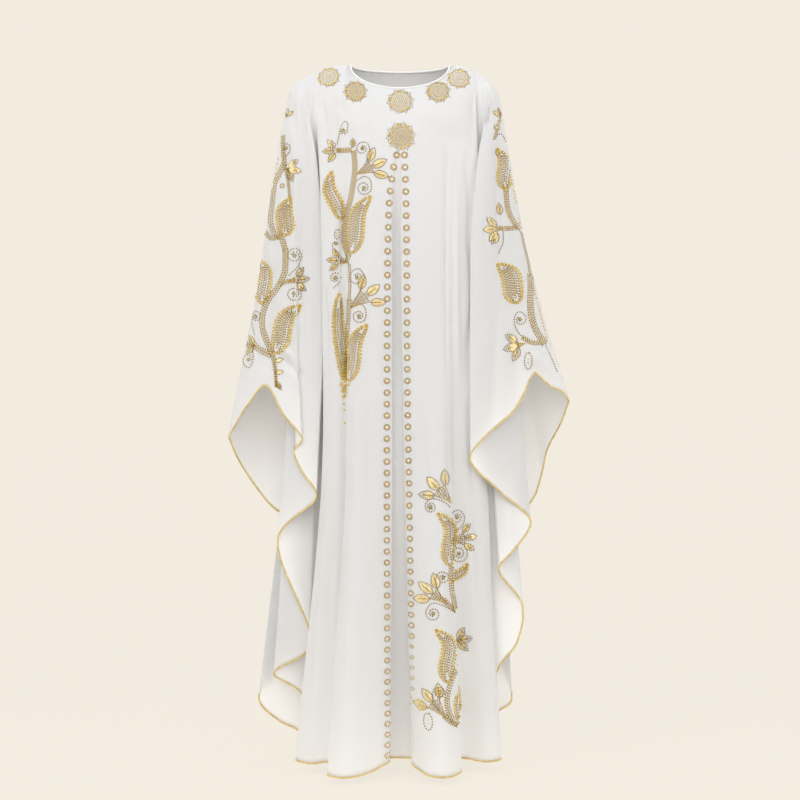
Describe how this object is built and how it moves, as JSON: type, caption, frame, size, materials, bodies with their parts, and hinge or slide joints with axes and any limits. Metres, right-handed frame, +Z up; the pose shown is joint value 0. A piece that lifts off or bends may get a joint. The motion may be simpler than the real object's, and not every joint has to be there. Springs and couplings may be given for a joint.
{
  "type": "batwing kaftan",
  "caption": "Floor-length batwing kaftan in pale crepe, round neck, wide wing sleeves falling in zigzag folds, inverted centre pleat and gold-edged hem, held at the shoulders.",
  "frame": {"origin": "midway between the neck points, on the line of the shoulders, where the wearer's shoulders hold it up", "axes": "+Z up, +X to the viewer's right, the front faces -Y"},
  "size_m": [0.7134, 0.4406, 1.4561],
  "materials": {
    "cloth": "soft satin-backed crepe, near white",
    "gold_edging": "rolled metallic gold edging"
  },
  "bodies": {
    "root": {"front": "cloth", "back": "cloth", "neck_binding": "cloth", "edging_front": "gold_edging", "edging_back": "gold_edging"}
  },
  "joints": []
}
